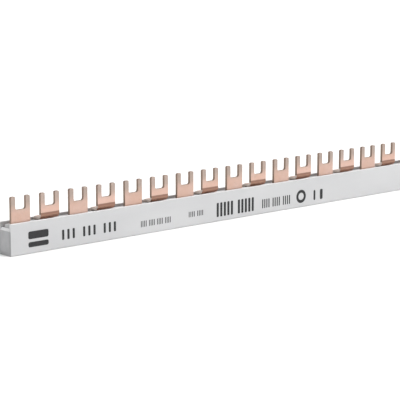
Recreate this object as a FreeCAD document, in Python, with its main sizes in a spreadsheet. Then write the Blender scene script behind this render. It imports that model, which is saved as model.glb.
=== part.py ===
import FreeCAD, Part
import os
import re
import Sketcher

# Two-pole fork busbar: an extruded insulating profile, two copper combs and two end caps.
# X runs along the bar, Y from the front wall to the rear wall, Z from the base up.
# The origin is under the middle of the bar, on the plane of the base. All sizes are in mm.

drivingSizes = {
    # the two combs
    "modulePitch": 17.8,
    "forksPerPole": 27,
    "polePitch": 5.6,
    "copperThick": 1.6,
    "stripHeight": 10,
    "forkWidth": 11.4,
    "forkTop": 29.4,
    "slotWidth": 6.2,
    "slotDepth": 6.7,
    "tipBevel": 0.5,
    "bendRadius": 1,
    "joggleClear": 0.4,
    # the insulating profile
    "profileHeight": 16.3,
    "floorThick": 2,
    "outerWall": 1.2,
    "stripClear": 0.4,
    "rimRound": 0.3,
    "footRound": 0.8,
    # the end caps
    "capThick": 1.2,
    "capClear": 0.15,
    "capGap": 0.4,
    "capDrop": 1.7,
    "capBevel": 1.1,
    "tongueLength": 9,
    "tongueHeight": 9.5,
}

# Lengths that follow from the driving sizes.
channelWidth = "(copperThick + 2 * stripClear)"
innerHalf = f"(polePitch / 2 + {channelWidth} / 2)"
partitionHalf = f"(polePitch / 2 - {channelWidth} / 2)"
profileHalf = f"({innerHalf} + outerWall)"
rowLength = "((2 * forksPerPole - 1) * modulePitch + forkWidth)"
profileLength = f"({rowLength} + 2 * (capThick + capGap))"
combLength = "(2 * (forksPerPole - 1) * modulePitch + forkWidth)"
stripTop = "(floorThick + stripHeight)"
forkRoot = "(floorThick + stripHeight / 2)"
outerBend = "(bendRadius + copperThick)"
runBottom = "(profileHeight + joggleClear)"
joggleTop = f"({runBottom} + {outerBend})"
capSeat = "(capThick + capClear)"
capTop = "(profileHeight - capDrop)"

doc = FreeCAD.newDocument("ForkBusbar")
sheet = doc.addObject("Spreadsheet::Sheet", "Sizes")
for row, (name, size) in enumerate(drivingSizes.items(), start=1):
    sheet.set(f"A{row}", name)
    sheet.set(f"B{row}", str(size))
    sheet.setAlias(f"B{row}", name)
doc.recompute()


def bound(formula):
    # A formula written with the sizes' names, as an expression that reads the sheet.
    return re.sub(r"[A-Za-z]+", lambda word: f"Sizes.{word[0]}", str(formula))


def value(formula):
    return float(sheet.evalExpression(bound(formula)))


def originFeature(body, role):
    return next(f for f in body.Origin.OriginFeatures if f.Role == role)


def newBody(label):
    body = doc.addObject("PartDesign::Body", label)
    body.Label = label
    return body


def newSketch(body, name, plane, offset="0"):
    # The offset moves the sketch along its plane's normal: -Y on XZ, +X on YZ, +Z on XY.
    sketch = body.newObject("Sketcher::SketchObject", name)
    sketch.AttachmentSupport = (originFeature(body, plane), [""])
    sketch.MapMode = "FlatFace"
    sketch.setExpression("AttachmentOffset.Base.z", bound(offset))
    return sketch


def pin(sketch, side, end, formulas):
    # Holds one end of a side, or an arc's centre, at the place that the formulas give.
    for kind, formula in formulas:
        place = value(formula)
        number = sketch.addConstraint(Sketcher.Constraint(kind, -1, 1, side, end, place))
        sketch.setExpression(f"Constraints[{number}]", bound(formula))


def arcSide(start, end, centre, turn):
    # An arc from start to end that turns left or right; Sketcher keeps arcs turning left.
    first, last = (start, end) if turn == "left" else (end, start)
    circle = Part.Circle(centre, FreeCAD.Vector(0, 0, 1), (start - centre).Length)
    return Part.ArcOfCircle(circle, circle.parameter(first), circle.parameter(last))


def drawOutline(sketch, corners):
    # A corner is a pair of formulas. A third item makes the side that starts there an arc,
    # and holds the formulas of its centre and the way it turns.
    points = [FreeCAD.Vector(value(across), value(up), 0) for across, up, *_ in corners]
    ends = []
    for side, (start, (_, _, *arc)) in enumerate(zip(points, corners)):
        end = points[(side + 1) % len(points)]
        if arc:
            across, up, turn = arc[0]
            centre = FreeCAD.Vector(value(across), value(up), 0)
            sketch.addGeometry(arcSide(start, end, centre, turn), False)
            ends.append((1, 2) if turn == "left" else (2, 1))
        else:
            sketch.addGeometry(Part.LineSegment(start, end), False)
            ends.append((1, 2))
    for side, (across, up, *arc) in enumerate(corners):
        after = (side + 1) % len(points)
        meeting = (side, ends[side][1], after, ends[after][0])
        sketch.addConstraint(Sketcher.Constraint("Coincident", *meeting))
        pin(sketch, side, ends[side][0], [("DistanceX", across), ("DistanceY", up)])
        if arc:
            pin(sketch, side, 3, [("DistanceY", arc[0][1])])


def extrude(body, name, sketch, length, reverse=False):
    pad = body.newObject("PartDesign::Pad", name)
    pad.Profile = sketch
    pad.setExpression("Length", bound(length))
    pad.Reversed = reverse
    pad.Refine = True
    return pad


def rectangle(left, right, bottom, top):
    return [(left, bottom), (right, bottom), (right, top), (left, top)]


def edgesAlong(shape, direction, chosen):
    # Names of the straight edges that run along a direction and whose middle is chosen.
    names = []
    for number, edge in enumerate(shape.Edges, start=1):
        run = edge.Vertexes[-1].Point - edge.Vertexes[0].Point
        straight = abs(run.dot(direction)) > 0.999 * edge.Length
        if straight and chosen(edge.CenterOfMass):
            names.append(f"Edge{number}")
    return names


def makeProfile():
    # The section is a floor with two outer walls and a partition, open at the top.
    body = newBody("insulating_profile")
    section = newSketch(body, "Section", "YZ_Plane", f"-{profileLength} / 2")
    drawOutline(section, [
        (f"-{profileHalf}", "0"),
        (profileHalf, "0"),
        (profileHalf, "profileHeight"),
        (innerHalf, "profileHeight"),
        (innerHalf, "floorThick"),
        (partitionHalf, "floorThick"),
        (partitionHalf, "profileHeight"),
        (f"-{partitionHalf}", "profileHeight"),
        (f"-{partitionHalf}", "floorThick"),
        (f"-{innerHalf}", "floorThick"),
        (f"-{innerHalf}", "profileHeight"),
        (f"-{profileHalf}", "profileHeight"),
    ])
    extrude(body, "Extrusion", section, profileLength)
    doc.recompute()

    along = FreeCAD.Vector(1, 0, 0)
    extrusion = body.Tip
    rims = edgesAlong(
        extrusion.Shape, along,
        lambda at: at.z > value("profileHeight") - 0.01 and abs(at.y) > value(profileHalf) - 0.01)
    rounded = body.newObject("PartDesign::Fillet", "RimRounds")
    rounded.Base = (extrusion, rims)
    rounded.setExpression("Radius", bound("rimRound"))
    doc.recompute()
    feet = edgesAlong(rounded.Shape, along, lambda at: at.z < 0.01)
    foot = body.newObject("PartDesign::Fillet", "FootRounds")
    foot.Base = (rounded, feet)
    foot.setExpression("Radius", bound("footRound"))
    doc.recompute()

    # The partition stops short of both ends, which makes room for the caps' plates.
    before = body.Shape.Volume
    for name, left, right in (
        ("LeftSeat", f"-{profileLength} / 2", f"-{profileLength} / 2 + {capSeat}"),
        ("RightSeat", f"{profileLength} / 2 - {capSeat}", f"{profileLength} / 2"),
    ):
        seat = newSketch(body, name, "XY_Plane", "floorThick")
        drawOutline(seat, rectangle(left, right, f"-{innerHalf}", innerHalf))
        pocket = body.newObject("PartDesign::Pocket", name + "Cut")
        pocket.Profile = seat
        pocket.Type = "ThroughAll"
        pocket.Reversed = True
        doc.recompute()
    if body.Shape.Volume >= before:
        raise RuntimeError("the end seats cut nothing")
    return body


def addBlade(body, middle, plane, root):
    # A fork's blade: two prongs beside a round-bottomed slot, bevelled at their outer corners.
    outline = newSketch(body, "BladeOutline", "XZ_Plane", f"-({plane} - copperThick / 2)")
    slotCentre = "(forkTop - slotDepth + slotWidth / 2)"
    left, right = f"{middle} - forkWidth / 2", f"{middle} + forkWidth / 2"
    slotLeft, slotRight = f"{middle} - slotWidth / 2", f"{middle} + slotWidth / 2"
    drawOutline(outline, [
        (left, root),
        (left, "forkTop - tipBevel"),
        (f"{left} + tipBevel", "forkTop"),
        (slotLeft, "forkTop"),
        (slotLeft, slotCentre, (middle, slotCentre, "left")),
        (slotRight, slotCentre),
        (slotRight, "forkTop"),
        (f"{right} - tipBevel", "forkTop"),
        (right, "forkTop - tipBevel"),
        (right, root),
    ])
    return extrude(body, "Blade", outline, "copperThick", reverse=True)


def addJoggle(body, middle, fromPlane, toPlane):
    # The neck rises from the strip, runs forward over the partition and turns up again.
    side = newSketch(body, "JoggleSide", "YZ_Plane", f"{middle} - forkWidth / 2")
    neckFront, neckBack = f"({fromPlane} - copperThick / 2)", f"({fromPlane} + copperThick / 2)"
    bladeFront, bladeBack = f"({toPlane} - copperThick / 2)", f"({toPlane} + copperThick / 2)"
    runRear, runFront = f"({neckFront} - bendRadius)", f"({bladeBack} + bendRadius)"
    neckTop, runTop = f"({runBottom} - bendRadius)", f"({runBottom} + copperThick)"
    drawOutline(side, [
        (neckFront, forkRoot),
        (neckFront, neckTop, (runRear, neckTop, "left")),
        (runRear, runBottom),
        (runFront, runBottom, (runFront, joggleTop, "right")),
        (bladeFront, joggleTop),
        (bladeBack, joggleTop, (runFront, joggleTop, "left")),
        (runFront, runTop),
        (runRear, runTop, (runRear, neckTop, "right")),
        (neckBack, neckTop),
        (neckBack, forkRoot),
    ])
    return extrude(body, "Joggle", side, "forkWidth")


def makeComb(label, middle, plane, joggled):
    # A strip on edge in its channel, with a fork on every second module.
    body = newBody(label)
    strip = newSketch(body, "StripOutline", "XZ_Plane", f"-({plane} - copperThick / 2)")
    left = f"{middle} - forkWidth / 2"
    drawOutline(strip, rectangle(left, f"{left} + {combLength}", "floorThick", stripTop))
    extrude(body, "Strip", strip, "copperThick", reverse=True)
    if joggled:
        joggle = addJoggle(body, middle, plane, frontPlane)
        fork = [joggle, addBlade(body, middle, frontPlane, joggleTop)]
    else:
        fork = [addBlade(body, middle, plane, forkRoot)]
    doc.recompute()
    row = body.newObject("PartDesign::LinearPattern", "ForkRow")
    row.Originals = fork
    row.Direction = (originFeature(body, "X_Axis"), [""])
    row.setExpression("Length", bound("2 * (forksPerPole - 1) * modulePitch"))
    row.setExpression("Occurrences", bound("forksPerPole"))
    row.Refine = True
    body.Tip = row
    doc.recompute()
    return body


def makeCap(label):
    # A plate between the outer walls, lower than them, and a tongue in the empty channel.
    body = newBody(label)
    plate = newSketch(body, "PlateOutline", "YZ_Plane", f"-{profileLength} / 2")
    reach = f"({innerHalf} - capClear)"
    drawOutline(plate, rectangle(f"-{reach}", reach, "floorThick", capTop))
    extrude(body, "Plate", plate, "capThick")
    tongue = newSketch(body, "TongueOutline", "YZ_Plane", f"-{profileLength} / 2")
    half = f"({channelWidth} / 2 - capClear)"
    inChannel = rectangle(f"polePitch / 2 - {half}", f"polePitch / 2 + {half}",
                          "floorThick", "floorThick + tongueHeight")
    drawOutline(tongue, inChannel)
    plug = extrude(body, "Tongue", tongue, "capThick + tongueLength")
    doc.recompute()
    outerEnd = -value(profileLength) / 2
    topEdge = edgesAlong(
        plug.Shape, FreeCAD.Vector(0, 1, 0),
        lambda at: at.z > value(capTop) - 0.01 and at.x < outerEnd + 0.01)
    bevel = body.newObject("PartDesign::Chamfer", "TopBevel")
    bevel.Base = (plug, topEdge)
    bevel.setExpression("Size", bound("capBevel"))
    doc.recompute()
    return body


frontPlane = "(-polePitch / 2)"
rearPlane = "(polePitch / 2)"
firstFork = "(-(2 * forksPerPole - 1) * modulePitch / 2)"
secondFork = f"({firstFork} + modulePitch)"

profile = makeProfile()
frontComb = makeComb("front_copper_comb", firstFork, frontPlane, joggled=False)
rearComb = makeComb("rear_copper_comb", secondFork, rearPlane, joggled=True)
leftCap = makeCap("left_end_cap")
rightCap = makeCap("right_end_cap")
# The right cap is the same moulding, turned half a turn about the bar's upright axis.
rightCap.Placement = FreeCAD.Placement(
    FreeCAD.Vector(0, 0, 0), FreeCAD.Rotation(FreeCAD.Vector(0, 0, 1), 180))
doc.recompute()

for item in doc.Objects:
    if "Invalid" in item.State or "Error" in item.State:
        raise RuntimeError(f"{item.Label} did not compute")
    if item.TypeId == "Sketcher::SketchObject" and not item.FullyConstrained:
        raise RuntimeError(f"{item.Label} is not held in every direction")

os.makedirs("parts", exist_ok=True)
for piece in (profile, frontComb, rearComb, leftCap, rightCap):
    shape = piece.Shape
    if shape.isNull() or not shape.isValid() or len(shape.Solids) != 1:
        raise RuntimeError(f"{piece.Label} is not one sound solid")
    shape.exportStep(f"parts/{piece.Label}.step")
    box = shape.BoundBox
    print(piece.Label, round(shape.Volume, 2), "mm3",
          [round(v, 2) for v in (box.XMin, box.XMax, box.YMin, box.YMax, box.ZMin, box.ZMax)])
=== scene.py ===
import math

import bmesh
import bpy
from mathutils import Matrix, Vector


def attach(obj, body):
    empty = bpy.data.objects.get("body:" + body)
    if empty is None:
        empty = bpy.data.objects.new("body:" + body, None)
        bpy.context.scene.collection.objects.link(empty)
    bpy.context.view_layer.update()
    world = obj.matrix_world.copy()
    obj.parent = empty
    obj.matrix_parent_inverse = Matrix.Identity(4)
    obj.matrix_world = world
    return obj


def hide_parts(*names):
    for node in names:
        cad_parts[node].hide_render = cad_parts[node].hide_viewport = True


# Two-pole fork busbar: a grey extruded profile, two copper combs, two end caps and the front print.
# X runs along the bar, Y from the front wall to the rear wall, Z up. Sizes in the dictionaries are in mm.

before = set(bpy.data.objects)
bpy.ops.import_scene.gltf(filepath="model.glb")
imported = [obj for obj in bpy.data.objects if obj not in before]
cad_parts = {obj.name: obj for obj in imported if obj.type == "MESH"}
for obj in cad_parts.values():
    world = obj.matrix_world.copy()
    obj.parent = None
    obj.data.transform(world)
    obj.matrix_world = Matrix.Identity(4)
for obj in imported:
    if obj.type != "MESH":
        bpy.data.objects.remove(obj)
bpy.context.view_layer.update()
print("frame loaded:", ", ".join(sorted(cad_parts)))

mm = 0.001
near = 0.01  # a face or edge this close to a place, in mm, is at that place
along = 0.9  # a direction with this much of an axis in it runs along that axis
smoothAngle = 40  # in degrees: a sharper edge than this stays sharp


def selectNothing():
    bpy.ops.object.select_all(action="DESELECT")


def selectOnly(piece):
    selectNothing()
    bpy.context.view_layer.objects.active = piece
    piece.select_set(True)


def startBlock(name, low, high):
    # a cube primitive that fills the space between two corners, with its place in its mesh
    selectNothing()
    middle = [(a + b) / 2 * mm for a, b in zip(low, high)]
    size = [(b - a) * mm for a, b in zip(low, high)]
    bpy.ops.mesh.primitive_cube_add(size=1, location=middle, scale=size)
    block = bpy.context.object
    block.name = name
    block.data.name = name
    bpy.ops.object.transform_apply(location=True, rotation=True, scale=True)
    return block


def editPiece(piece):
    selectOnly(piece)
    bpy.ops.object.mode_set(mode="EDIT")


def leaveEdit():
    bpy.ops.object.mode_set(mode="OBJECT")


def pick(kind, chosen):
    # selects the faces or edges that the test wants; it gets their middle in mm and their direction
    bpy.ops.mesh.select_mode(type=kind)
    bpy.ops.mesh.select_all(action="DESELECT")
    shape = bmesh.from_edit_mesh(bpy.context.object.data)
    if kind == "FACE":
        for face in shape.faces:
            if chosen(face.calc_center_median() / mm, face.normal):
                face.select_set(True)
    else:
        for edge in shape.edges:
            start, end = edge.verts[0].co, edge.verts[1].co
            if chosen((start + end) / 2 / mm, (end - start).normalized()):
                edge.select_set(True)
    bmesh.update_edit_mesh(bpy.context.object.data)


def cutAcross(axis, places):
    # bisects the whole mesh at each place along an axis
    for place in places:
        at = [0, 0, 0]
        normal = [0, 0, 0]
        at[axis] = place * mm
        normal[axis] = 1
        bpy.ops.mesh.select_all(action="SELECT")
        bpy.ops.mesh.bisect(plane_co=at, plane_no=normal)


def pull(x=0, y=0, z=0):
    bpy.ops.mesh.extrude_region_move(TRANSFORM_OT_translate={"value": (x * mm, y * mm, z * mm)})


def bendSheet(turn, steps, y, z):
    # extrudes the selected end face round an axis that runs along X
    for _ in range(steps):
        bpy.ops.mesh.extrude_region()
        bpy.ops.transform.rotate(
            value=math.radians(turn) / steps, orient_axis="X", center_override=(0, y * mm, z * mm))


def bevelEdges(width, steps=1):
    # one step is a flat bevel, more of them make a round
    bpy.ops.mesh.bevel(offset=width * mm, segments=steps, affect="EDGES")


def finishWith(piece, kind, **settings):
    selectOnly(piece)
    modifier = piece.modifiers.new(kind.title(), kind)
    for name, setting in settings.items():
        setattr(modifier, name, setting)
    bpy.ops.object.modifier_apply(modifier=modifier.name)


def roundAll(piece, width, angle):
    # a small round on every edge that turns by more than the angle
    finishWith(piece, "BEVEL", width=width * mm, segments=2, limit_method="ANGLE",
               angle_limit=math.radians(angle))


def smoothPiece(piece):
    # smooth shading on the rounds, with the flat faces kept flat
    selectOnly(piece)
    bpy.ops.object.shade_smooth_by_angle(angle=math.radians(smoothAngle))
    finishWith(piece, "WEIGHTED_NORMAL", keep_sharp=True, weight=100)


def dress(piece, finish, *extras):
    # the first finish goes all over; each extra one comes with the test of the faces that it takes
    piece.data.materials.append(finish)
    for slot, (extra, chosen) in enumerate(extras, start=1):
        piece.data.materials.append(extra)
        for face in piece.data.polygons:
            if chosen(face.center / mm, face.normal):
                face.material_index = slot


def place(piece, node, slot):
    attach(piece, "root")
    if node:
        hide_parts(node)


class Wire:
    # one output socket, so that shader maths reads as plain arithmetic
    def __init__(self, finish, socket):
        self.finish = finish
        self.socket = socket

    def maths(self, operation, other, turned=False):
        pair = (other, self) if turned else (self, other)
        return self.finish.node("Math", {"operation": operation}, {0: pair[0], 1: pair[1]})

    def __add__(self, other):
        return self.maths("ADD", other)

    def __sub__(self, other):
        return self.maths("SUBTRACT", other)

    def __mul__(self, other):
        return self.maths("MULTIPLY", other)

    def __rsub__(self, other):
        return self.maths("SUBTRACT", other, turned=True)

    __radd__ = __add__
    __rmul__ = __mul__


class Finish:
    # a material with its Principled shader, and a point in mm to lay patterns by
    def __init__(self, name, constants):
        self.material = bpy.data.materials.new(name)
        self.material.use_nodes = True
        self.nodes = self.material.node_tree.nodes
        self.links = self.material.node_tree.links
        self.nodes.clear()
        self.shader = self.nodes.new("ShaderNodeBsdfPrincipled")
        output = self.nodes.new("ShaderNodeOutputMaterial")
        self.links.new(self.shader.outputs["BSDF"], output.inputs["Surface"])
        for socket, value in constants.items():
            self.set(socket, value)
        coords = self.node("TexCoord", {}, {}, "Object")
        self.point = self.node("VectorMath", {"operation": "SCALE"}, {0: coords, "Scale": 1 / mm})

    def node(self, kind, settings, sockets, out=0):
        made = self.nodes.new("ShaderNode" + kind)
        for name, setting in settings.items():
            if name == "stops":
                for stop, (position, shade) in zip(made.color_ramp.elements, setting):
                    stop.position = position
                    stop.color = (shade, shade, shade, 1)
            else:
                setattr(made, name, setting)
        for name, value in sockets.items():
            self.plug(value, made.inputs[name])
        return Wire(self, made.outputs[out])

    def plug(self, value, socket):
        if isinstance(value, Wire):
            self.links.new(value.socket, socket)
        else:
            socket.default_value = value

    def set(self, socket, value):
        self.plug(value, self.shader.inputs[socket])

    def noise(self, scale, detail, roughness=0.5, stretch=None):
        # the stretch scales the axes of the point, for grain that runs one way
        point = self.point
        if stretch:
            point = self.node("VectorMath", {"operation": "MULTIPLY"}, {0: point, 1: stretch})
        return self.node("TexNoise", {}, {
            "Vector": point, "Scale": scale, "Detail": detail, "Roughness": roughness}, "Fac")

    def spread(self, value, limits):
        # 0 below the lower limit and 1 above the upper one, in a straight line between them
        low, high = limits
        return self.node("ValToRGB", {"stops": ((low, 0), (high, 1))}, {"Fac": value}, "Color")

    def rise(self, value, low, high):
        return self.node("MapRange", {"interpolation_type": "SMOOTHSTEP"}, {
            "Value": value, "From Min": low, "From Max": high}, "Result")

    def height(self):
        return self.node("SeparateXYZ", {}, {0: self.point}, "Z")

    def mixed(self, mask, base, over):
        return self.node("Mix", {"data_type": "RGBA"}, {0: mask, 6: base, 7: over}, 2)

    def bump(self, height, relief):
        # the relief is in mm, where the height goes from 0 to 1
        self.set("Normal", self.node("Bump", {}, {
            "Height": height, "Distance": relief * mm, "Strength": 1}, "Normal"))


plasticTone = {
    "body": (0.500, 0.502, 0.508, 1),
    "cloud": (0.468, 0.470, 0.478, 1),
    # the lighter grey of the painted highlight along the wall's rim
    "paintedHighlight": (0.720, 0.715, 0.715, 1),
    "clouds": {"scale": 0.06, "detail": 4, "stretch": (0.35, 1, 1)},
    "cloudSpread": (0.35, 0.7),
    "dieLines": {"scale": 3.2, "detail": 5, "roughness": 0.65, "stretch": (0.004, 1, 1)},
    "dieLineSpread": (0.5, 0.75),
    "dieLineTint": 0.22,
    "grain": {"scale": 5, "detail": 3},
    # noise patches that break up the painted highlight on the rim
    "highlightPatches": {"scale": 0.35, "detail": 5, "roughness": 0.6},
    "highlightPatchSpread": (0.48, 0.72),
    "rimFrom": 15.85,
    "rimTo": 16.25,
    "rimLeast": 0.6,
    "index": 1.5,
    "roughness": 0.42,
    "lineRoughness": 0.10,
    "cloudRoughness": 0.08,
    "lineShare": 0.8,
    "relief": 0.012,
}


def makeProfilePlastic(tone):
    # fine lines of the die along the bar, faint clouds, and a painted highlight along the wall's rim,
    # broken up by noise
    finish = Finish("lightGreyExtrudedPlastic", {"IOR": tone["index"]})
    clouds = finish.noise(**tone["clouds"])
    dieLines = finish.noise(**tone["dieLines"])
    grain = finish.noise(**tone["grain"])
    highlightPatches = finish.spread(finish.noise(**tone["highlightPatches"]), tone["highlightPatchSpread"])
    # painted highlight: the rim's top is painted lighter, broken up by noise patches
    nearRim = finish.rise(finish.height(), tone["rimFrom"], tone["rimTo"])
    paintedHighlight = nearRim * (tone["rimLeast"] + highlightPatches * (1 - tone["rimLeast"]))
    lined = finish.spread(dieLines, tone["dieLineSpread"]) * tone["dieLineTint"]
    shade = finish.mixed(finish.spread(clouds, tone["cloudSpread"]), tone["body"], tone["cloud"])
    shade = finish.mixed(paintedHighlight, shade, tone["paintedHighlight"])
    finish.set("Base Color", finish.mixed(lined, shade, tone["cloud"]))
    finish.set("Roughness", (
        tone["roughness"] + dieLines * tone["lineRoughness"] + (clouds - 0.5) * tone["cloudRoughness"]))
    finish.bump(dieLines * tone["lineShare"] + grain * (1 - tone["lineShare"]), tone["relief"])
    return finish.material


sawnTone = {
    # painted shade: the body and scored tones are darker than the profile's grey, for the shade on the
    # bar's ends
    "body": (0.400, 0.402, 0.412, 1),
    "scored": (0.320, 0.322, 0.332, 1),
    "endHighlight": (0.640, 0.640, 0.650, 1),
    "marks": {"scale": 3, "detail": 4, "roughness": 0.6, "stretch": (1, 1, 0.12)},
    "markSpread": (0.4, 0.7),
    "endHighlightFrom": 11.8,
    "endHighlightTo": 13.2,
    "index": 1.5,
    "roughness": 0.55,
    "markRoughness": 0.12,
    "relief": 0.03,
}


def makeSawnPlastic(tone):
    # the profile's sawn ends: upright marks on a grey painted darker than the profile's as shade, with a
    # painted highlight towards the rim
    finish = Finish("sawnGreyPlastic", {"IOR": tone["index"]})
    marks = finish.noise(**tone["marks"])
    # painted highlight towards the rim
    endHighlight = finish.rise(finish.height(), tone["endHighlightFrom"], tone["endHighlightTo"])
    shade = finish.mixed(finish.spread(marks, tone["markSpread"]), tone["body"], tone["scored"])
    finish.set("Base Color", finish.mixed(endHighlight, shade, tone["endHighlight"]))
    finish.set("Roughness", tone["roughness"] + marks * tone["markRoughness"])
    finish.bump(marks, tone["relief"])
    return finish.material


capTone = {
    # painted shade: the cap's grey is darker than the profile's, for the shade on the bar's ends
    "body": (0.415, 0.416, 0.426, 1),
    "cloud": (0.375, 0.376, 0.386, 1),
    "edge": (0.800, 0.800, 0.810, 1),
    "clouds": {"scale": 0.3, "detail": 3},
    "cloudSpread": (0.35, 0.7),
    "grain": {"scale": 7, "detail": 4, "roughness": 0.6},
    "highlightFrom": 12.3,
    "highlightTo": 12.7,
    "index": 1.5,
    "roughness": 0.5,
    "grainRoughness": 0.12,
    "relief": 0.02,
}


def makeCapPlastic(tone):
    # a moulded grain on a grey painted darker than the profile's as shade on the bar's ends, with a painted
    # highlight on the bevel along the top
    finish = Finish("greyMouldedPlastic", {"IOR": tone["index"]})
    clouds = finish.noise(**tone["clouds"])
    grain = finish.noise(**tone["grain"])
    # painted highlight on the bevel along the top
    paintedHighlight = finish.rise(finish.height(), tone["highlightFrom"], tone["highlightTo"])
    shade = finish.mixed(finish.spread(clouds, tone["cloudSpread"]), tone["body"], tone["cloud"])
    finish.set("Base Color", finish.mixed(paintedHighlight, shade, tone["edge"]))
    finish.set("Roughness", tone["roughness"] + (grain - 0.5) * tone["grainRoughness"])
    finish.bump(grain, tone["relief"])
    return finish.material


copperTone = {
    "bright": (0.680, 0.475, 0.404, 1),
    "warm": (0.632, 0.422, 0.340, 1),
    "frontBright": (0.606, 0.428, 0.362, 1),
    "frontWarm": (0.580, 0.388, 0.313, 1),
    "dull": (0.345, 0.307, 0.277, 1),
    "rollLines": {"scale": 7, "detail": 4, "roughness": 0.6, "stretch": (0.03, 1, 1)},
    "patches": {"scale": 0.11, "detail": 4, "roughness": 0.55},
    "patchSpread": (0.38, 0.66),
    "stains": {"scale": 0.5, "detail": 5, "roughness": 0.6},
    "stainSpread": (0.56, 0.78),
    "stainTint": 0.3,
    "tipFrom": 20.5,
    "tipTo": 27,
    "tipTint": 0.45,
    "tipStain": 0.5,
    "roughness": 0.34,
    "lineRoughness": 0.12,
    "stainRoughness": 0.10,
    "relief": 0.006,
}

# painted shade on the bent copper: brown, darkening up the joggle's outer bend, with painted reflected
# light below it; its tones, and the heights between which each gives way to the next
bendPaintedShade = {
    # painted reflected light: a brighter, redder copper low on the joggle, below the darkening band
    "foot": (0.850, 0.520, 0.400, 1),
    # painted shade on the bend's outer face, darkening upwards until the blade turns upright
    "dark": (0.385, 0.223, 0.167, 1),
    "deepShade": (0.290, 0.168, 0.125, 1),
    "darkFrom": 17.0,
    "darkTo": 17.6,
    "deepFrom": 17.9,
    "deepTo": 18.6,
    "endFrom": 19.35,
    "endTo": 19.75,
    "wander": 0.4,
}


def makeRolledCopper(name, tone, bright, warm, paintedShade=None):
    # lines of the rolling mill along the strip, and blades that turn darker and greyer towards their tips
    finish = Finish(name, {"Metallic": 1})
    rollLines = finish.noise(**tone["rollLines"])
    patches = finish.noise(**tone["patches"])
    stains = finish.noise(**tone["stains"])
    height = finish.height()
    tips = finish.rise(height, tone["tipFrom"], tone["tipTo"])
    spots = finish.spread(stains, tone["stainSpread"])
    shade = finish.mixed(finish.spread(patches, tone["patchSpread"]), tone[bright], tone[warm])
    shade = finish.mixed(tips * (tone["tipTint"] + stains * tone["tipStain"]), shade, tone["dull"])
    shade = finish.mixed(spots * tone["stainTint"], shade, tone["dull"])
    # painted shade on the bent copper, with painted reflected light at its foot, fading out where the blade
    # turns upright
    if paintedShade:
        darker = finish.rise(height, paintedShade["darkFrom"], paintedShade["darkTo"])
        deeper = finish.rise(height, paintedShade["deepFrom"], paintedShade["deepTo"])
        clearOfPaintedShade = finish.rise(height + stains * paintedShade["wander"], paintedShade["endFrom"], paintedShade["endTo"])
        brown = finish.mixed(darker, paintedShade["foot"], paintedShade["dark"])
        brown = finish.mixed(deeper, brown, paintedShade["deepShade"])
        shade = finish.mixed(1 - clearOfPaintedShade, shade, brown)
    finish.set("Base Color", shade)
    finish.set("Roughness", (
        tone["roughness"] + rollLines * tone["lineRoughness"] + stains * tone["stainRoughness"]))
    finish.bump(rollLines, tone["relief"])
    return finish.material


cutTone = {
    "blade": (0.350, 0.262, 0.210, 1),
    "bladeDark": (0.255, 0.185, 0.145, 1),
    # painted light: the joggle's sheared sides get much lighter tones than the blades', against the shade
    # between the forks
    "joggle": (0.880, 0.770, 0.700, 1),
    "joggleDark": (0.680, 0.590, 0.530, 1),
    "shear": {"scale": 6, "detail": 4, "roughness": 0.6, "stretch": (1, 0.12, 1)},
    "shearSpread": (0.35, 0.7),
    "stains": {"scale": 0.6, "detail": 4},
    "roughness": 0.46,
    "stainRoughness": 0.16,
    "relief": 0.03,
}


def makeCutCopper(name, tone, light, dark):
    # the sheared edges: striations run through the thickness, which is Y
    finish = Finish(name, {"Metallic": 1})
    shear = finish.noise(**tone["shear"])
    stains = finish.noise(**tone["stains"])
    finish.set("Base Color", finish.mixed(
        finish.spread(shear, tone["shearSpread"]), tone[light], tone[dark]))
    finish.set("Roughness", tone["roughness"] + stains * tone["stainRoughness"])
    finish.bump(shear, tone["relief"])
    return finish.material


inkTone = {
    "full": (0.010, 0.010, 0.011, 1),
    "thin": (0.030, 0.031, 0.033, 1),
    "coverage": {"scale": 3.5, "detail": 4, "roughness": 0.6},
    "coverageSpread": (0.4, 0.75),
    "index": 1.45,
    "roughness": 0.5,
    "coverageRoughness": 0.15,
}


def makePrintInk(tone):
    finish = Finish("darkGreyPrint", {"IOR": tone["index"]})
    coverage = finish.noise(**tone["coverage"])
    finish.set("Base Color", finish.mixed(
        finish.spread(coverage, tone["coverageSpread"]), tone["full"], tone["thin"]))
    finish.set("Roughness", tone["roughness"] + coverage * tone["coverageRoughness"])
    return finish.material


profilePlastic = makeProfilePlastic(plasticTone)
sawnPlastic = makeSawnPlastic(sawnTone)
capPlastic = makeCapPlastic(capTone)
rolledCopper = makeRolledCopper("rolledCopper", copperTone, "frontBright", "frontWarm")
# the rear comb's copper, with the painted shade and painted reflected light of its joggle
bentCopper = makeRolledCopper("bentCopper", copperTone, "bright", "warm", bendPaintedShade)
cutCopper = makeCutCopper("shearedCopperEdge", cutTone, "blade", "bladeDark")
# the joggle's sheared sides: the same finish lightened as painted light
paintedLightCutCopper = makeCutCopper("paintedLightShearedEdge", cutTone, "joggle", "joggleDark")
printInk = makePrintInk(inkTone)
print("finishes made")


profile = {
    "halfLength": 479,
    "halfWidth": 5.2,
    "height": 16.3,
    "partitionTop": 15.4,
    "floor": 2,
    "innerHalf": 4,
    "partitionHalf": 1.6,
    "endSeat": 1.35,
    "rimRound": 0.3,
    "rimSteps": 4,
    "innerRound": 0.15,
    "innerSteps": 2,
    "footRound": 0.8,
    "footSteps": 5,
}


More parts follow.
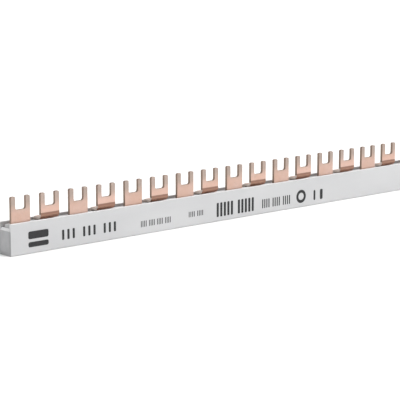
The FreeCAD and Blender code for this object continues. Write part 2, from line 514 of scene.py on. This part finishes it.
def makeProfile(size):
    # a slab that is cut lengthwise, with the walls and the partition pulled up from it
    end, wide = size["halfLength"], size["halfWidth"]
    wall, partition = size["innerHalf"], size["partitionHalf"]
    seat = end - size["endSeat"]
    top, partitionTop = size["height"], size["partitionTop"]
    piece = startBlock("profile", (-end, -wide, 0), (end, wide, size["floor"]))
    editPiece(piece)
    cutAcross(1, (-wall, -partition, partition, wall))
    cutAcross(0, (-seat, seat))
    pick("FACE", lambda at, normal: normal.z > along and abs(at.y) > wall)
    pull(z=top - size["floor"])
    pick("FACE", lambda at, normal: (
        normal.z > along and abs(at.y) < partition and abs(at.x) < seat))
    pull(z=partitionTop - size["floor"])
    pick("EDGE", lambda at, run: abs(run.x) > along and at.z > top - near and abs(at.y) > wide - near)
    bevelEdges(size["rimRound"], size["rimSteps"])
    pick("EDGE", lambda at, run: (
        abs(run.x) > along and at.z > partitionTop - near and abs(at.y) < wall + near))
    bevelEdges(size["innerRound"], size["innerSteps"])
    pick("EDGE", lambda at, run: abs(run.x) > along and at.z < near and abs(at.y) > wide - near)
    bevelEdges(size["footRound"], size["footSteps"])
    leaveEdit()
    return piece


profilePiece = makeProfile(profile)
smoothPiece(profilePiece)
dress(profilePiece, profilePlastic, (sawnPlastic, lambda at, normal: (
    abs(normal.x) > along and abs(at.x) > profile["halfLength"] - near)))
place(profilePiece, "insulating_profile", "profile_plastic")
print("profile made")


comb = {
    "forks": 27,
    "pitch": 35.6,
    "firstFront": -471.7,
    "firstRear": -453.9,
    "frontPlane": -2.8,
    "rearPlane": 2.8,
    "thick": 1.6,
    "stripBottom": 2,
    "stripTop": 12,
    "forkWidth": 11.4,
    "slotWidth": 6.2,
    "slotBottom": 22.7,
    "slotCorner": 1.2,
    "slotCornerSteps": 6,
    "forkTop": 29.4,
    "tipBevel": 0.5,
    "innerTipBevel": 0.35,
    "bendRadius": 1,
    "bendSteps": 8,
    "runBottom": 15.8,
    "edgeRound": 0.12,
    "edgeAngle": 35,
    "edgeFacing": 0.6,  # how far a face turns away from the sheet before it counts as a sheared edge
    "backFacing": 0.4,  # how far a face of the joggle turns up or back before it is left without the painted shade
}


def makeFork(name, size, middle, plane):
    # one pitch of strip, with the root of the fork selected on top of it
    half, thick = size["forkWidth"] / 2, size["thick"] / 2
    piece = startBlock(
        name, (middle - half, plane - thick, size["stripBottom"]),
        (middle - half + size["pitch"], plane + thick, size["stripTop"]))
    editPiece(piece)
    cutAcross(0, (middle + half,))
    pick("FACE", lambda at, normal: normal.z > along and at.x < middle + half)
    return piece


def makeProngs(size, middle, foot):
    # from the selected face at the blade's foot: the bridge, then two prongs beside the slot
    half, slotHalf = size["forkWidth"] / 2, size["slotWidth"] / 2
    bottom, top = size["slotBottom"], size["forkTop"]
    pull(z=bottom - foot)
    for side in (-slotHalf, slotHalf):
        pick("FACE", lambda at, normal: at.z > foot and abs(at.x - middle) < half + near)
        bpy.ops.mesh.bisect(plane_co=((middle + side) * mm, 0, 0), plane_no=(1, 0, 0))
    pick("FACE", lambda at, normal: (
        normal.z > along and at.z > bottom - near and abs(at.x - middle) > slotHalf))
    pull(z=top - bottom)
    pick("EDGE", lambda at, run: (
        abs(run.y) > along and abs(at.z - bottom) < near and abs(abs(at.x - middle) - slotHalf) < near))
    bevelEdges(size["slotCorner"], size["slotCornerSteps"])
    pick("EDGE", lambda at, run: (
        abs(run.y) > along and at.z > top - near and abs(abs(at.x - middle) - half) < near))
    bevelEdges(size["tipBevel"])
    pick("EDGE", lambda at, run: (
        abs(run.y) > along and at.z > top - near and abs(abs(at.x - middle) - slotHalf) < near))
    bevelEdges(size["innerTipBevel"])


def makeRow(piece, size, middle):
    # opens both ends of the pitch, repeats it, takes off the last length of strip and closes the ends
    half = size["forkWidth"] / 2
    low, high = middle - half, middle - half + size["pitch"]
    lastEdge = middle + (size["forks"] - 1) * size["pitch"] + half
    pick("FACE", lambda at, normal: (
        abs(normal.x) > along and at.z < size["stripTop"]
        and (at.x < low + near or at.x > high - near)))
    bpy.ops.mesh.delete(type="ONLY_FACE")
    leaveEdit()
    finishWith(piece, "ARRAY", count=size["forks"], use_relative_offset=False, use_constant_offset=True,
               constant_offset_displace=(size["pitch"] * mm, 0, 0), use_merge_vertices=True,
               merge_threshold=near * mm)
    editPiece(piece)
    bpy.ops.mesh.select_all(action="SELECT")
    bpy.ops.mesh.bisect(plane_co=(lastEdge * mm, 0, 0), plane_no=(1, 0, 0), clear_outer=True,
                        threshold=near / 10 * mm)
    bpy.ops.mesh.select_all(action="DESELECT")
    bpy.ops.mesh.select_mode(type="EDGE")
    bpy.ops.mesh.select_non_manifold()
    bpy.ops.mesh.edge_face_add()
    bpy.ops.mesh.select_all(action="SELECT")
    bpy.ops.mesh.normals_make_consistent(inside=False)
    leaveEdit()


def finishComb(piece, size):
    roundAll(piece, size["edgeRound"], size["edgeAngle"])
    smoothPiece(piece)


def makeFrontComb(size):
    middle = size["firstFront"]
    piece = makeFork("frontComb", size, middle, size["frontPlane"])
    makeProngs(size, middle, size["stripTop"])
    makeRow(piece, size, middle)
    finishComb(piece, size)
    return piece


def makeRearComb(size, joggleTop):
    # the neck bends forward over the partition and turns up again in the front comb's plane
    middle, bend, thick, steps = size["firstRear"], size["bendRadius"], size["thick"], size["bendSteps"]
    neckTop = size["runBottom"] - bend
    neckAxis = size["rearPlane"] - thick / 2 - bend
    bladeAxis = size["frontPlane"] + thick / 2 + bend
    piece = makeFork("rearComb", size, middle, size["rearPlane"])
    pull(z=neckTop - size["stripTop"])
    bendSheet(-90, steps, neckAxis, neckTop)
    pull(y=bladeAxis - neckAxis)
    bendSheet(90, steps, bladeAxis, joggleTop)
    makeProngs(size, middle, joggleTop)
    makeRow(piece, size, middle)
    finishComb(piece, size)
    return piece


frontComb = makeFrontComb(comb)
dress(frontComb, rolledCopper, (cutCopper, lambda at, normal: (
    at.z > comb["stripTop"] and abs(normal.y) < comb["edgeFacing"])))
place(frontComb, "front_copper_comb", "copper")
print("front comb made")

joggleTop = comb["runBottom"] + comb["bendRadius"] + comb["thick"]
rearComb = makeRearComb(comb, joggleTop)
# below the joggle's top: faces turning front or down take the bent copper with its painted shade, faces
# turning up or back plain copper, the sides the painted light sheared finish
dress(
    rearComb, bentCopper,
    (cutCopper, lambda at, normal: at.z > joggleTop and abs(normal.y) < comb["edgeFacing"]),
    (rolledCopper, lambda at, normal: at.z < joggleTop and normal.y + normal.z > comb["backFacing"]),
    (paintedLightCutCopper, lambda at, normal: at.z < joggleTop and abs(normal.x) > comb["edgeFacing"]))
place(rearComb, "rear_copper_comb", "copper")
print("rear comb made")


cap = {
    "outerEnd": -479,
    "thick": 1.2,
    "halfWidth": 3.85,
    "bottom": 2,
    "top": 13.7,
    "topBevel": 1.15,
    "tongueFrom": 1.75,
    "tongueTop": 11.5,
    "tongueEnd": -468.8,
    "edgeRound": 0.12,
    "edgeAngle": 30,
}


def makeLeftCap(size):
    # a plate with a bevelled top, and a tongue that reaches into the rear channel
    outer, inner = size["outerEnd"], size["outerEnd"] + size["thick"]
    piece = startBlock("leftCap", (outer, -size["halfWidth"], size["bottom"]),
                       (inner, size["halfWidth"], size["top"]))
    editPiece(piece)
    cutAcross(1, (size["tongueFrom"],))
    cutAcross(2, (size["tongueTop"],))
    pick("FACE", lambda at, normal: (
        normal.x > along and at.y > size["tongueFrom"] and at.z < size["tongueTop"]))
    pull(x=size["tongueEnd"] - inner)
    pick("EDGE", lambda at, run: (
        abs(run.y) > along and at.z > size["top"] - near and at.x < outer + near))
    bevelEdges(size["topBevel"])
    leaveEdit()
    roundAll(piece, size["edgeRound"], size["edgeAngle"])
    smoothPiece(piece)
    return piece


def makeRightCap(leftCap):
    # the same moulding turned half a turn about the bar's upright axis
    selectOnly(leftCap)
    bpy.ops.object.duplicate()
    piece = bpy.context.object
    piece.name = "rightCap"
    piece.data.name = "rightCap"
    bpy.ops.transform.rotate(value=math.pi, orient_axis="Z", center_override=(0, 0, 0))
    bpy.ops.object.transform_apply(location=True, rotation=True, scale=True)
    return piece


leftCap = makeLeftCap(cap)
dress(leftCap, capPlastic)
rightCap = makeRightCap(leftCap)
place(leftCap, "left_end_cap", "cap_plastic")
place(rightCap, "right_end_cap", "cap_plastic")
print("end caps made")


# Places run from the bar's left end and from its base. The print is plain bars, blocks and a ring.
printing = {
    "front": -5.2,
    "proud": 0.012,
    "sunk": 0.05,
    "blocks": [(10.4, 22.7, 7.4, 11.3), (10.4, 22.7, 3.3, 5.9)],
    "blockRound": 0.9,
    "pills": [(209.4, 210.9, 2.9, 8.8), (214.6, 216.8, 2.9, 8.8)],
    "pillRound": 0.7,
    "rows": [
        {"left": 31, "right": 66, "bottom": 4.3, "top": 9.5, "bar": 1.4, "pitch": 3.3, "skip": 4},
        {"left": 82, "right": 103, "bottom": 4.0, "top": 7.3, "bar": 0.5, "pitch": 1.1, "skip": 5},
        {"left": 115, "right": 127, "bottom": 5.0, "top": 8.0, "bar": 0.55, "pitch": 1.2, "skip": 5},
        {"left": 135, "right": 163, "bottom": 2.6, "top": 10.4, "bar": 1.6, "pitch": 2.6, "skip": 6},
        {"left": 169, "right": 191.5, "bottom": 3.2, "top": 8.3, "bar": 0.8, "pitch": 1.6, "skip": 5},
    ],
    "barRound": 0.3,  # as a share of the bar's width
    "roundSteps": 3,
    "ringMiddle": (199.4, 6.35),
    "ringRadius": 3.8,
    "ringWidth": 1.7,
    "ringSides": 40,
}


def addMark(left, right, bottom, top, corner):
    end = -profile["halfLength"]
    mark = startBlock("mark", (end + left, printing["front"] - printing["proud"], bottom),
                      (end + right, printing["front"] + printing["sunk"], top))
    editPiece(mark)
    pick("EDGE", lambda at, run: abs(run.y) > along)
    bevelEdges(corner, printing["roundSteps"])
    leaveEdit()
    return mark


def addRow(row):
    # upright bars of one height, in groups: the last of each group is left out
    made = []
    count = int((row["right"] - row["left"] - row["bar"]) / row["pitch"]) + 1
    for number in range(count):
        if number % row["skip"] == row["skip"] - 1:
            continue
        left = row["left"] + number * row["pitch"]
        made.append(addMark(left, left + row["bar"], row["bottom"], row["top"],
                            row["bar"] * printing["barRound"]))
    return made


def addRing():
    across, up = printing["ringMiddle"]
    middle = ((across - profile["halfLength"]) * mm, printing["front"] * mm, up * mm)
    proud, sunk = printing["proud"], printing["sunk"]
    selectNothing()
    bpy.ops.mesh.primitive_cylinder_add(
        vertices=printing["ringSides"], radius=printing["ringRadius"] * mm, depth=(proud + sunk) * mm,
        location=middle, rotation=(math.radians(90), 0, 0))
    ring = bpy.context.object
    bpy.ops.transform.translate(value=(0, (sunk - proud) / 2 * mm, 0))
    bpy.ops.object.transform_apply(location=True, rotation=True, scale=True)
    editPiece(ring)
    pick("FACE", lambda at, normal: abs(normal.y) > along)
    bpy.ops.mesh.inset(thickness=printing["ringWidth"] * mm)
    bpy.ops.mesh.bridge_edge_loops()
    leaveEdit()
    return ring


def makePrint():
    marks = [addMark(*block, printing["blockRound"]) for block in printing["blocks"]]
    marks += [addMark(*pill, printing["pillRound"]) for pill in printing["pills"]]
    for row in printing["rows"]:
        marks += addRow(row)
    marks.append(addRing())
    selectNothing()
    for mark in marks:
        mark.select_set(True)
    bpy.context.view_layer.objects.active = marks[0]
    bpy.ops.object.join()
    marks[0].name = "frontPrint"
    marks[0].data.name = "frontPrint"
    return marks[0]


frontPrint = makePrint()
dress(frontPrint, printInk)
place(frontPrint, None, "profile_plastic")
print("print made")


# Lights and the camera are in metres, the floor in mm.
studio = {
    "floorHalf": 24000,
    "floorDepth": 20,
    "floorCorner": 1000,
    "floorCornerSteps": 6,
    "floorColour": (0.965, 0.965, 0.960, 1),
    "floorShade": (0.950525, 0.950525, 0.945600, 1),
    "floorCloud": {"scale": 0.004, "detail": 2},
    "floorRoughness": 0.9,
    "glow": (0.55, 0.55, 0.55, 1),
    "glowFrom": 1000,
    "glowTo": 3000,
    "horizon": (1.0, 1.0, 1.0, 1),
    "overhead": (0.50, 0.50, 0.50, 1),
    "horizonTo": 0.12,
    "overheadFrom": 0.42,
    "leftSide": 0.70,
    "lights": [
        {"name": "keyLight", "power": 50, "size": (1.6, 1.6), "at": (0.25, -1.7, 1.9), "aim": (-0.2, 0, 0)},
        {"name": "topLight", "power": 14, "size": (2.4, 1.2), "at": (-0.2, 0.1, 2.2), "aim": (-0.2, 0, 0)},
        {"name": "farLight", "power": 90, "size": (6, 5), "at": (2.2, 3.2, 3.0), "aim": (2.4, 3.4, 0)},
    ],
    "lens": 146.06,
    "sensor": 36,
    "seesFrom": 0.01,
    "seesTo": 100,
    "cameraPlace": (-0.92100, -0.65178, 0.17245),
    "cameraAim": (0.64701, 0.74046, -0.18196),
}


def makeFloor():
    half = studio["floorHalf"]
    floor = startBlock("floor", (-half, -half, -studio["floorDepth"]), (half, half, 0))
    editPiece(floor)
    pick("EDGE", lambda at, run: abs(run.z) > along)
    bevelEdges(studio["floorCorner"], studio["floorCornerSteps"])
    leaveEdit()
    finish = Finish("paleFloor", {"Roughness": studio["floorRoughness"], "Emission Strength": 1})
    cloud = finish.noise(**studio["floorCloud"])
    finish.set("Base Color", finish.mixed(cloud, studio["floorColour"], studio["floorShade"]))
    # far from the bar, where the lights don't reach, the floor glows a little and stays as pale
    away = finish.node("VectorMath", {"operation": "LENGTH"}, {0: finish.point}, "Value")
    unlit = finish.rise(away, studio["glowFrom"], studio["glowTo"])
    finish.set("Emission Color", finish.mixed(unlit, (0, 0, 0, 1), studio["glow"]))
    floor.data.materials.append(finish.material)


def makeWorld():
    # white along the horizon, softer overhead and on the left
    world = bpy.data.worlds.new("studio")
    bpy.context.scene.world = world
    world.use_nodes = True
    nodes, links = world.node_tree.nodes, world.node_tree.links
    background = next(node for node in nodes if node.type == "BACKGROUND")
    coords = nodes.new("ShaderNodeTexCoord")
    split = nodes.new("ShaderNodeSeparateXYZ")
    ramp = nodes.new("ShaderNodeValToRGB")
    side = nodes.new("ShaderNodeMapRange")
    for socket, value in (("From Min", -1), ("From Max", 0), ("To Min", studio["leftSide"]), ("To Max", 1)):
        side.inputs[socket].default_value = value
    low, high = ramp.color_ramp.elements
    low.position = studio["horizonTo"]
    low.color = studio["horizon"]
    high.position = studio["overheadFrom"]
    high.color = studio["overhead"]
    links.new(coords.outputs["Generated"], split.inputs[0])
    links.new(split.outputs["Z"], ramp.inputs["Fac"])
    links.new(split.outputs["X"], side.inputs["Value"])
    links.new(side.outputs["Result"], background.inputs["Strength"])
    links.new(ramp.outputs["Color"], background.inputs["Color"])


def addLight(name, power, size, at, aim):
    bpy.ops.object.light_add(type="AREA", location=at)
    light = bpy.context.object
    light.name = name
    light.data.energy = power
    light.data.shape = "RECTANGLE"
    light.data.size, light.data.size_y = size
    light.rotation_euler = (Vector(aim) - Vector(at)).to_track_quat("-Z", "Y").to_euler()
    light.visible_camera = False


def addCamera():
    bpy.ops.object.camera_add(location=studio["cameraPlace"])
    camera = bpy.context.object
    camera.rotation_euler = Vector(studio["cameraAim"]).to_track_quat("-Z", "Y").to_euler()
    camera.data.lens = studio["lens"]
    camera.data.sensor_width = studio["sensor"]
    camera.data.clip_start = studio["seesFrom"]
    camera.data.clip_end = studio["seesTo"]
    bpy.context.scene.camera = camera


makeFloor()
makeWorld()
selectNothing()
for light in studio["lights"]:
    addLight(**light)
addCamera()
bpy.context.scene.view_settings.view_transform = "Standard"
print("studio made")
